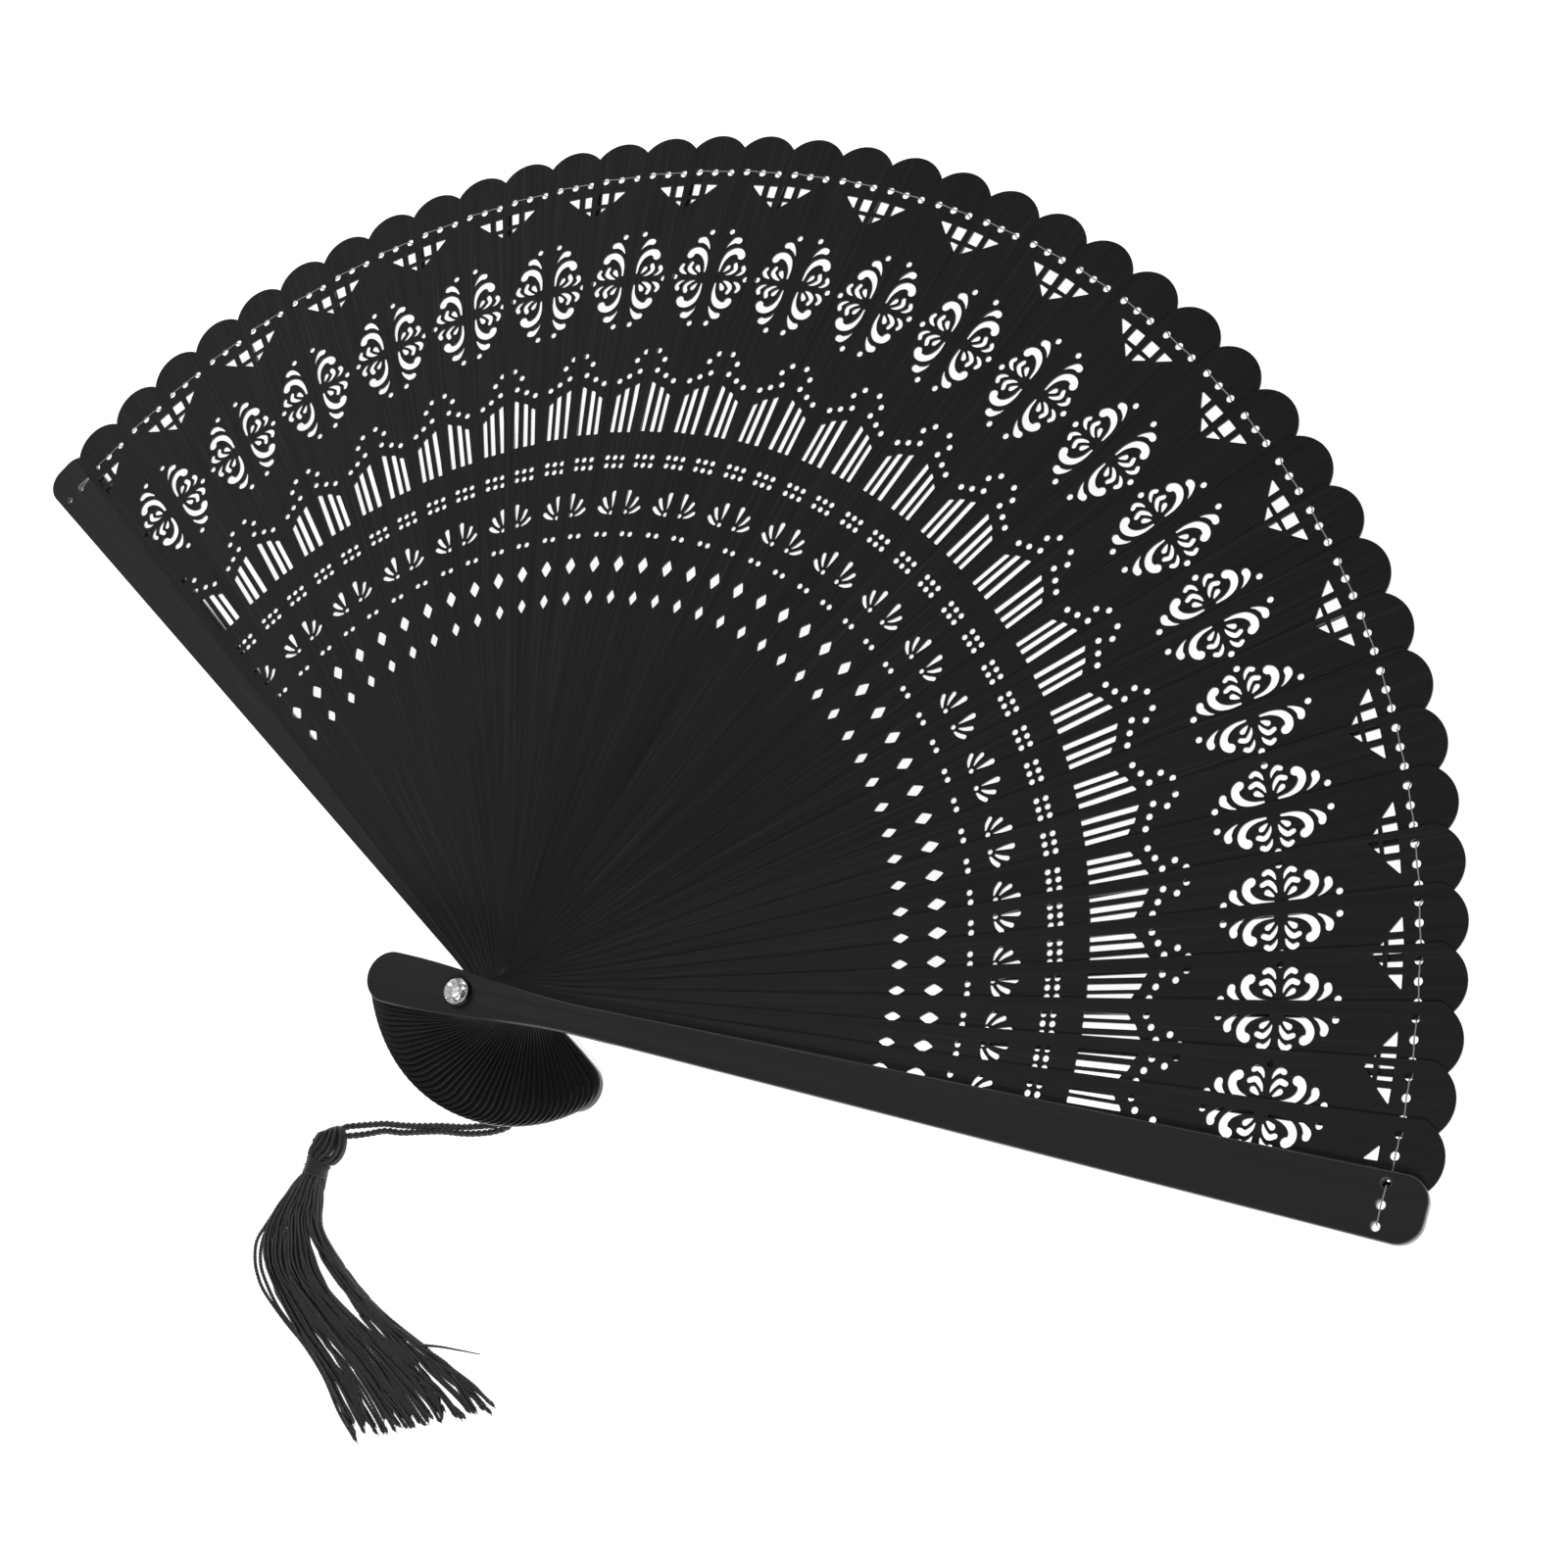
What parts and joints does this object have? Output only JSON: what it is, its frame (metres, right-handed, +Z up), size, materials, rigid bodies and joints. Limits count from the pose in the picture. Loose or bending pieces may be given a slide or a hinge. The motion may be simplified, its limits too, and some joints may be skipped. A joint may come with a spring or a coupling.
{
  "type": "folding hand fan",
  "caption": "Open brise hand fan of thin black wooden leaves between two guards, turning on a crystal-topped rivet, with a cord and tassel.",
  "frame": {"origin": "centre of the flat face of the rivet's rear head, on the rivet's axis, which is the surface the fan lies on", "axes": "+Z up along the rivet towards the crystal; the open fan spreads to both sides of +Y; +X towards the front guard's side"},
  "size_m": [0.4022, 0.3026, 0.0391],
  "materials": {
    "black_wood": "smooth black-stained wood with a low sheen and a faint grain along each leaf",
    "dark_metal": "black-plated metal, semi-gloss",
    "clear_crystal": "clear faceted crystal with a silvered back",
    "black_cord": "black twisted thread, soft sheen"
  },
  "bodies": {
    "rear_guard_and_rivet": {"rear_guard": "black_wood", "rivet_pin": "dark_metal", "rivet_front_bezel": "dark_metal", "crystal_front": "clear_crystal", "tassel_hitch": "black_cord", "tassel_cord_inner": "black_cord", "tassel_cord_outer": "black_cord", "tassel_head": "black_cord", "tassel_binding": "black_cord", "tassel_skirt": "black_cord"},
    "front_guard": {"front_guard": "black_wood"},
    "leaf_01": {"leaf_01": "black_wood"},
    "leaf_02": {"leaf_02": "black_wood"},
    "leaf_03": {"leaf_03": "black_wood"},
    "leaf_04": {"leaf_04": "black_wood"},
    "leaf_05": {"leaf_05": "black_wood"},
    "leaf_06": {"leaf_06": "black_wood"},
    "leaf_07": {"leaf_07": "black_wood"},
    "leaf_08": {"leaf_08": "black_wood"},
    "leaf_09": {"leaf_09": "black_wood"},
    "leaf_10": {"leaf_10": "black_wood"},
    "leaf_11": {"leaf_11": "black_wood"},
    "leaf_12": {"leaf_12": "black_wood"},
    "leaf_13": {"leaf_13": "black_wood"},
    "leaf_14": {"leaf_14": "black_wood"},
    "leaf_15": {"leaf_15": "black_wood"},
    "leaf_16": {"leaf_16": "black_wood"},
    "leaf_17": {"leaf_17": "black_wood"},
    "leaf_18": {"leaf_18": "black_wood"},
    "leaf_19": {"leaf_19": "black_wood"},
    "leaf_20": {"leaf_20": "black_wood"},
    "leaf_21": {"leaf_21": "black_wood"},
    "leaf_22": {"leaf_22": "black_wood"},
    "leaf_23": {"leaf_23": "black_wood"},
    "leaf_24": {"leaf_24": "black_wood"},
    "leaf_25": {"leaf_25": "black_wood"},
    "leaf_26": {"leaf_26": "black_wood"},
    "leaf_27": {"leaf_27": "black_wood"},
    "leaf_28": {"leaf_28": "black_wood"},
    "leaf_29": {"leaf_29": "black_wood"},
    "leaf_30": {"leaf_30": "black_wood"},
    "leaf_31": {"leaf_31": "black_wood"},
    "leaf_32": {"leaf_32": "black_wood"},
    "leaf_33": {"leaf_33": "black_wood"},
    "leaf_34": {"leaf_34": "black_wood"},
    "leaf_35": {"leaf_35": "black_wood"},
    "leaf_36": {"leaf_36": "black_wood"},
    "leaf_37": {"leaf_37": "black_wood"},
    "leaf_38": {"leaf_38": "black_wood"},
    "leaf_39": {"leaf_39": "black_wood"},
    "leaf_40": {"leaf_40": "black_wood"}
  },
  "joints": [
    {"name": "fan_spread", "type": "hinge", "parent": "rear_guard_and_rivet", "child": "front_guard", "pos_m": [0, 0, 0.03535], "axis": [0, 0, 1], "range_deg": [0, 148.15]},
    {"name": "leaf_01_hinge", "type": "hinge", "parent": "rear_guard_and_rivet", "child": "leaf_01", "pos_m": [0, 0, 0.0339], "axis": [0, 0, 1], "range_deg": [0, 145.5]},
    {"name": "leaf_02_hinge", "type": "hinge", "parent": "rear_guard_and_rivet", "child": "leaf_02", "pos_m": [0, 0, 0.03315], "axis": [0, 0, 1], "range_deg": [0, 142.3]},
    {"name": "leaf_03_hinge", "type": "hinge", "parent": "rear_guard_and_rivet", "child": "leaf_03", "pos_m": [0, 0, 0.0324], "axis": [0, 0, 1], "range_deg": [0, 139.2]},
    {"name": "leaf_04_hinge", "type": "hinge", "parent": "rear_guard_and_rivet", "child": "leaf_04", "pos_m": [0, 0, 0.03165], "axis": [0, 0, 1], "range_deg": [0, 135.9]},
    {"name": "leaf_05_hinge", "type": "hinge", "parent": "rear_guard_and_rivet", "child": "leaf_05", "pos_m": [0, 0, 0.0309], "axis": [0, 0, 1], "range_deg": [0, 132.6]},
    {"name": "leaf_06_hinge", "type": "hinge", "parent": "rear_guard_and_rivet", "child": "leaf_06", "pos_m": [0, 0, 0.03015], "axis": [0, 0, 1], "range_deg": [0, 129.3]},
    {"name": "leaf_07_hinge", "type": "hinge", "parent": "rear_guard_and_rivet", "child": "leaf_07", "pos_m": [0, 0, 0.0294], "axis": [0, 0, 1], "range_deg": [0, 125.9]},
    {"name": "leaf_08_hinge", "type": "hinge", "parent": "rear_guard_and_rivet", "child": "leaf_08", "pos_m": [0, 0, 0.02865], "axis": [0, 0, 1], "range_deg": [0, 122.4]},
    {"name": "leaf_09_hinge", "type": "hinge", "parent": "rear_guard_and_rivet", "child": "leaf_09", "pos_m": [0, 0, 0.0279], "axis": [0, 0, 1], "range_deg": [0, 118.8]},
    {"name": "leaf_10_hinge", "type": "hinge", "parent": "rear_guard_and_rivet", "child": "leaf_10", "pos_m": [0, 0, 0.02715], "axis": [0, 0, 1], "range_deg": [0, 115.1]},
    {"name": "leaf_11_hinge", "type": "hinge", "parent": "rear_guard_and_rivet", "child": "leaf_11", "pos_m": [0, 0, 0.0264], "axis": [0, 0, 1], "range_deg": [0, 111.4]},
    {"name": "leaf_12_hinge", "type": "hinge", "parent": "rear_guard_and_rivet", "child": "leaf_12", "pos_m": [0, 0, 0.02565], "axis": [0, 0, 1], "range_deg": [0, 107.6]},
    {"name": "leaf_13_hinge", "type": "hinge", "parent": "rear_guard_and_rivet", "child": "leaf_13", "pos_m": [0, 0, 0.0249], "axis": [0, 0, 1], "range_deg": [0, 103.8]},
    {"name": "leaf_14_hinge", "type": "hinge", "parent": "rear_guard_and_rivet", "child": "leaf_14", "pos_m": [0, 0, 0.02415], "axis": [0, 0, 1], "range_deg": [0, 99.9]},
    {"name": "leaf_15_hinge", "type": "hinge", "parent": "rear_guard_and_rivet", "child": "leaf_15", "pos_m": [0, 0, 0.0234], "axis": [0, 0, 1], "range_deg": [0, 96]},
    {"name": "leaf_16_hinge", "type": "hinge", "parent": "rear_guard_and_rivet", "child": "leaf_16", "pos_m": [0, 0, 0.02265], "axis": [0, 0, 1], "range_deg": [0, 92]},
    {"name": "leaf_17_hinge", "type": "hinge", "parent": "rear_guard_and_rivet", "child": "leaf_17", "pos_m": [0, 0, 0.0219], "axis": [0, 0, 1], "range_deg": [0, 88.1]},
    {"name": "leaf_18_hinge", "type": "hinge", "parent": "rear_guard_and_rivet", "child": "leaf_18", "pos_m": [0, 0, 0.02115], "axis": [0, 0, 1], "range_deg": [0, 84.2]},
    {"name": "leaf_19_hinge", "type": "hinge", "parent": "rear_guard_and_rivet", "child": "leaf_19", "pos_m": [0, 0, 0.0204], "axis": [0, 0, 1], "range_deg": [0, 80.3]},
    {"name": "leaf_20_hinge", "type": "hinge", "parent": "rear_guard_and_rivet", "child": "leaf_20", "pos_m": [0, 0, 0.01965], "axis": [0, 0, 1], "range_deg": [0, 76.5]},
    {"name": "leaf_21_hinge", "type": "hinge", "parent": "rear_guard_and_rivet", "child": "leaf_21", "pos_m": [0, 0, 0.0189], "axis": [0, 0, 1], "range_deg": [0, 72.6]},
    {"name": "leaf_22_hinge", "type": "hinge", "parent": "rear_guard_and_rivet", "child": "leaf_22", "pos_m": [0, 0, 0.01815], "axis": [0, 0, 1], "range_deg": [0, 68.9]},
    {"name": "leaf_23_hinge", "type": "hinge", "parent": "rear_guard_and_rivet", "child": "leaf_23", "pos_m": [0, 0, 0.0174], "axis": [0, 0, 1], "range_deg": [0, 65.1]},
    {"name": "leaf_24_hinge", "type": "hinge", "parent": "rear_guard_and_rivet", "child": "leaf_24", "pos_m": [0, 0, 0.01665], "axis": [0, 0, 1], "range_deg": [0, 61.5]},
    {"name": "leaf_25_hinge", "type": "hinge", "parent": "rear_guard_and_rivet", "child": "leaf_25", "pos_m": [0, 0, 0.0159], "axis": [0, 0, 1], "range_deg": [0, 57.8]},
    {"name": "leaf_26_hinge", "type": "hinge", "parent": "rear_guard_and_rivet", "child": "leaf_26", "pos_m": [0, 0, 0.01515], "axis": [0, 0, 1], "range_deg": [0, 54.2]},
    {"name": "leaf_27_hinge", "type": "hinge", "parent": "rear_guard_and_rivet", "child": "leaf_27", "pos_m": [0, 0, 0.0144], "axis": [0, 0, 1], "range_deg": [0, 50.6]},
    {"name": "leaf_28_hinge", "type": "hinge", "parent": "rear_guard_and_rivet", "child": "leaf_28", "pos_m": [0, 0, 0.01365], "axis": [0, 0, 1], "range_deg": [0, 47.1]},
    {"name": "leaf_29_hinge", "type": "hinge", "parent": "rear_guard_and_rivet", "child": "leaf_29", "pos_m": [0, 0, 0.0129], "axis": [0, 0, 1], "range_deg": [0, 43.5]},
    {"name": "leaf_30_hinge", "type": "hinge", "parent": "rear_guard_and_rivet", "child": "leaf_30", "pos_m": [0, 0, 0.01215], "axis": [0, 0, 1], "range_deg": [0, 40]},
    {"name": "leaf_31_hinge", "type": "hinge", "parent": "rear_guard_and_rivet", "child": "leaf_31", "pos_m": [0, 0, 0.0114], "axis": [0, 0, 1], "range_deg": [0, 36.4]},
    {"name": "leaf_32_hinge", "type": "hinge", "parent": "rear_guard_and_rivet", "child": "leaf_32", "pos_m": [0, 0, 0.01065], "axis": [0, 0, 1], "range_deg": [0, 32.8]},
    {"name": "leaf_33_hinge", "type": "hinge", "parent": "rear_guard_and_rivet", "child": "leaf_33", "pos_m": [0, 0, 0.0099], "axis": [0, 0, 1], "range_deg": [0, 29.2]},
    {"name": "leaf_34_hinge", "type": "hinge", "parent": "rear_guard_and_rivet", "child": "leaf_34", "pos_m": [0, 0, 0.00915], "axis": [0, 0, 1], "range_deg": [0, 25.6]},
    {"name": "leaf_35_hinge", "type": "hinge", "parent": "rear_guard_and_rivet", "child": "leaf_35", "pos_m": [0, 0, 0.0084], "axis": [0, 0, 1], "range_deg": [0, 21.9]},
    {"name": "leaf_36_hinge", "type": "hinge", "parent": "rear_guard_and_rivet", "child": "leaf_36", "pos_m": [0, 0, 0.00765], "axis": [0, 0, 1], "range_deg": [0, 18.2]},
    {"name": "leaf_37_hinge", "type": "hinge", "parent": "rear_guard_and_rivet", "child": "leaf_37", "pos_m": [0, 0, 0.0069], "axis": [0, 0, 1], "range_deg": [0, 14.5]},
    {"name": "leaf_38_hinge", "type": "hinge", "parent": "rear_guard_and_rivet", "child": "leaf_38", "pos_m": [0, 0, 0.00615], "axis": [0, 0, 1], "range_deg": [0, 10.7]},
    {"name": "leaf_39_hinge", "type": "hinge", "parent": "rear_guard_and_rivet", "child": "leaf_39", "pos_m": [0, 0, 0.0054], "axis": [0, 0, 1], "range_deg": [0, 6.9]},
    {"name": "leaf_40_hinge", "type": "hinge", "parent": "rear_guard_and_rivet", "child": "leaf_40", "pos_m": [0, 0, 0.00465], "axis": [0, 0, 1], "range_deg": [0, 3.1]}
  ],
  "couplings": [
    {"joint": "leaf_01_hinge", "follows": "fan_spread", "ratio": 0.98158},
    {"joint": "leaf_02_hinge", "follows": "fan_spread", "ratio": 0.96035},
    {"joint": "leaf_03_hinge", "follows": "fan_spread", "ratio": 0.93891},
    {"joint": "leaf_04_hinge", "follows": "fan_spread", "ratio": 0.91715},
    {"joint": "leaf_05_hinge", "follows": "fan_spread", "ratio": 0.895},
    {"joint": "leaf_06_hinge", "follows": "fan_spread", "ratio": 0.87239},
    {"joint": "leaf_07_hinge", "follows": "fan_spread", "ratio": 0.84927},
    {"joint": "leaf_08_hinge", "follows": "fan_spread", "ratio": 0.82561},
    {"joint": "leaf_09_hinge", "follows": "fan_spread", "ratio": 0.80142},
    {"joint": "leaf_10_hinge", "follows": "fan_spread", "ratio": 0.77672},
    {"joint": "leaf_11_hinge", "follows": "fan_spread", "ratio": 0.75153},
    {"joint": "leaf_12_hinge", "follows": "fan_spread", "ratio": 0.72592},
    {"joint": "leaf_13_hinge", "follows": "fan_spread", "ratio": 0.69996},
    {"joint": "leaf_14_hinge", "follows": "fan_spread", "ratio": 0.67374},
    {"joint": "leaf_15_hinge", "follows": "fan_spread", "ratio": 0.64733},
    {"joint": "leaf_16_hinge", "follows": "fan_spread", "ratio": 0.62084},
    {"joint": "leaf_17_hinge", "follows": "fan_spread", "ratio": 0.59436},
    {"joint": "leaf_18_hinge", "follows": "fan_spread", "ratio": 0.56796},
    {"joint": "leaf_19_hinge", "follows": "fan_spread", "ratio": 0.54172},
    {"joint": "leaf_20_hinge", "follows": "fan_spread", "ratio": 0.51571},
    {"joint": "leaf_21_hinge", "follows": "fan_spread", "ratio": 0.48996},
    {"joint": "leaf_22_hinge", "follows": "fan_spread", "ratio": 0.46451},
    {"joint": "leaf_23_hinge", "follows": "fan_spread", "ratio": 0.43936},
    {"joint": "leaf_24_hinge", "follows": "fan_spread", "ratio": 0.41451},
    {"joint": "leaf_25_hinge", "follows": "fan_spread", "ratio": 0.38992},
    {"joint": "leaf_26_hinge", "follows": "fan_spread", "ratio": 0.36557},
    {"joint": "leaf_27_hinge", "follows": "fan_spread", "ratio": 0.3414},
    {"joint": "leaf_28_hinge", "follows": "fan_spread", "ratio": 0.31735},
    {"joint": "leaf_29_hinge", "follows": "fan_spread", "ratio": 0.29336},
    {"joint": "leaf_30_hinge", "follows": "fan_spread", "ratio": 0.26936},
    {"joint": "leaf_31_hinge", "follows": "fan_spread", "ratio": 0.2453},
    {"joint": "leaf_32_hinge", "follows": "fan_spread", "ratio": 0.22112},
    {"joint": "leaf_33_hinge", "follows": "fan_spread", "ratio": 0.19677},
    {"joint": "leaf_34_hinge", "follows": "fan_spread", "ratio": 0.17222},
    {"joint": "leaf_35_hinge", "follows": "fan_spread", "ratio": 0.14745},
    {"joint": "leaf_36_hinge", "follows": "fan_spread", "ratio": 0.12246},
    {"joint": "leaf_37_hinge", "follows": "fan_spread", "ratio": 0.09725},
    {"joint": "leaf_38_hinge", "follows": "fan_spread", "ratio": 0.07186},
    {"joint": "leaf_39_hinge", "follows": "fan_spread", "ratio": 0.04631},
    {"joint": "leaf_40_hinge", "follows": "fan_spread", "ratio": 0.02065}
  ]
}
